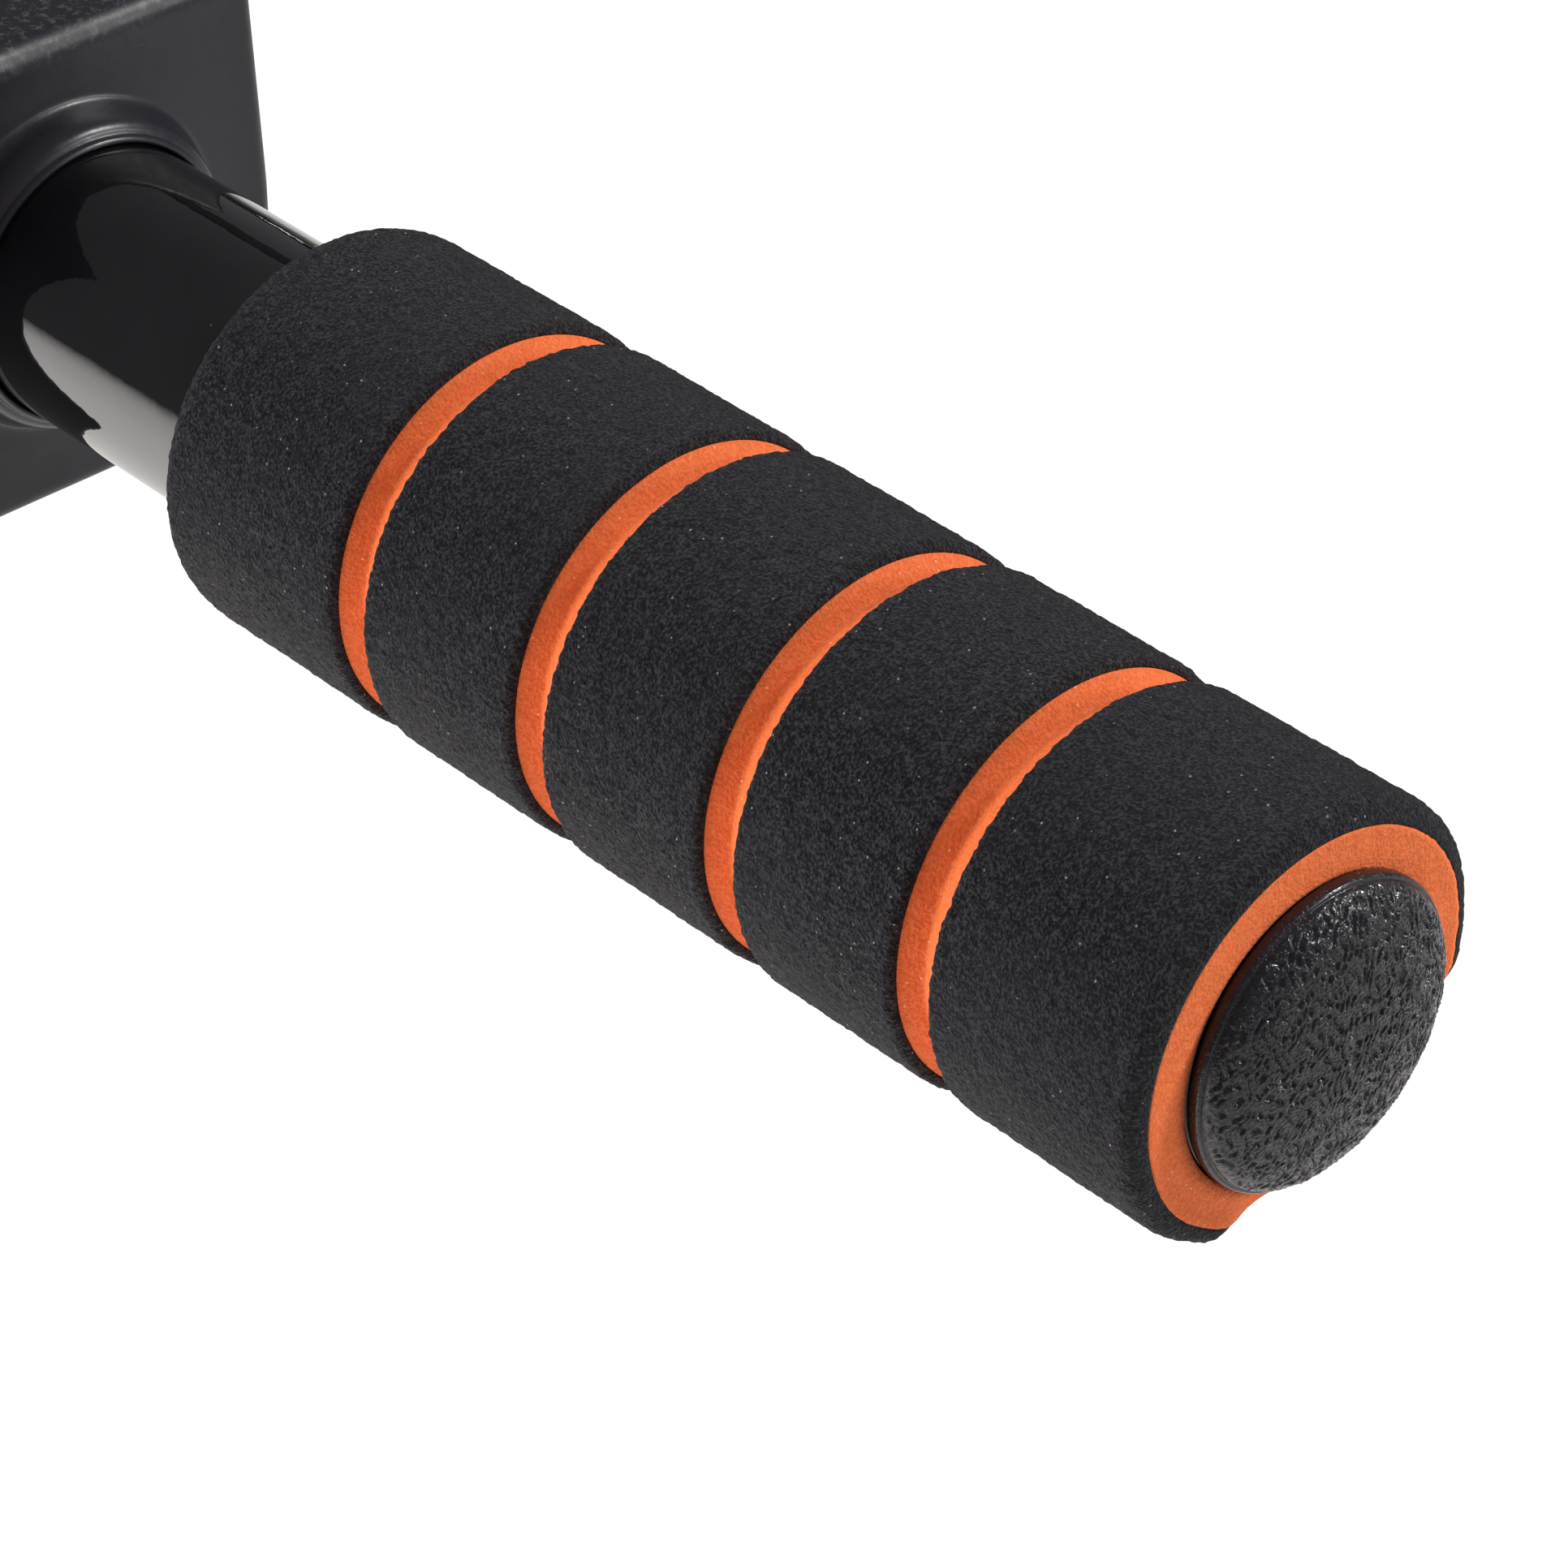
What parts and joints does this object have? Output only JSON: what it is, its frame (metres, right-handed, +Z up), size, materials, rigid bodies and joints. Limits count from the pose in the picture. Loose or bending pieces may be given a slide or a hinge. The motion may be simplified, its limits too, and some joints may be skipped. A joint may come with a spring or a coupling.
{
  "type": "pull up bar",
  "caption": "Over-the-door pull up bar: a round main tube with grooved two-colour foam grips, sliding door pads, bent arms and a ledge that rests on the door trim.",
  "frame": {"origin": "middle of the underside of the ledge pad, where it rests on the top of the door trim", "axes": "+X to the user's right along the main tube, +Y away from the user through the doorway, +Z up"},
  "size_m": [1.1458, 0.4042, 0.218],
  "materials": {
    "black_enamel": "high-gloss black enamel on steel tube and angle",
    "black_foam": "matt closed-cell foam, fine ground surface",
    "orange_foam": "matt orange closed-cell foam",
    "pad_rubber": "satin moulded rubber",
    "strip_rubber": "matt extruded rubber",
    "cap_plastic": "black moulded plastic with a pebbled grain",
    "hardware": "bright zinc-plated steel"
  },
  "bodies": {
    "bar": {"main_tube": "black_enamel", "handle_tube_left": "black_enamel", "handle_tube_right": "black_enamel", "arm_tube_left": "black_enamel", "arm_tube_right": "black_enamel", "arm_saddle_left": "black_enamel", "arm_saddle_right": "black_enamel", "saddle_bolts": "hardware", "saddle_curved_washers": "hardware", "saddle_flat_washers": "hardware", "saddle_lock_nuts": "hardware", "ledge_bolts": "hardware", "ledge_curved_washers": "hardware", "ledge_lock_nuts": "hardware", "ledge_angle": "black_enamel", "ledge_pad": "strip_rubber", "ledge_end_cap_left": "cap_plastic", "ledge_end_cap_right": "cap_plastic", "end_cap_left": "cap_plastic", "end_cap_right": "cap_plastic", "handle_cap_left": "cap_plastic", "handle_cap_right": "cap_plastic", "arm_cap_left": "cap_plastic", "arm_cap_right": "cap_plastic", "wide_grip_core_left": "orange_foam", "wide_grip_skin_left": "black_foam", "wide_grip_core_right": "orange_foam", "wide_grip_skin_right": "black_foam", "inner_grip_core_left": "orange_foam", "inner_grip_skin_left": "black_foam", "inner_grip_core_right": "orange_foam", "inner_grip_skin_right": "black_foam", "handle_grip_core_left": "orange_foam", "handle_grip_skin_left": "black_foam", "handle_grip_core_right": "orange_foam", "handle_grip_skin_right": "black_foam"},
    "left_pad": {"door_pad_left": "pad_rubber"},
    "right_pad": {"door_pad_right": "pad_rubber"}
  },
  "joints": [
    {"name": "right_pad_slide", "type": "slide", "parent": "bar", "child": "right_pad", "axis": [1, 0, 0], "range_m": [-0.018, 0.033]},
    {"name": "left_pad_slide", "type": "slide", "parent": "bar", "child": "left_pad", "axis": [-1, 0, 0], "range_m": [-0.018, 0.033]}
  ]
}
